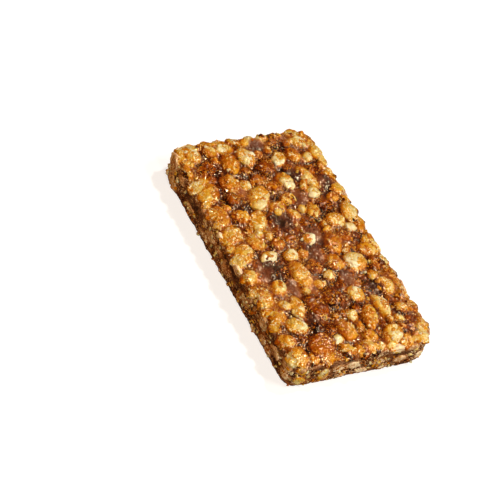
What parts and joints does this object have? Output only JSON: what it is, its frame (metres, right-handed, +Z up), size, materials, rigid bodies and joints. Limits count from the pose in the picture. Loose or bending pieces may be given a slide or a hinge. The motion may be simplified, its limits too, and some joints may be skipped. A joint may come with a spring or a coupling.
{
  "type": "pecan brittle",
  "caption": "Cut bar of brown caramel packed with chopped nuts that stand proud of its top and show in its sides, with rounded corners and a flat underside.",
  "frame": {"origin": "centre of the bar's box, on the flat underside that it lies on", "axes": "+X along the bar, +Y across it, +Z up through its thickness to the nutty top"},
  "size_m": [0.07, 0.04, 0.0092],
  "materials": {
    "caramel_and_nuts": "satin",
    "caramel": "gloss",
    "nuts": "satin"
  },
  "bodies": {
    "root": {"bar": "caramel_and_nuts"}
  },
  "joints": []
}
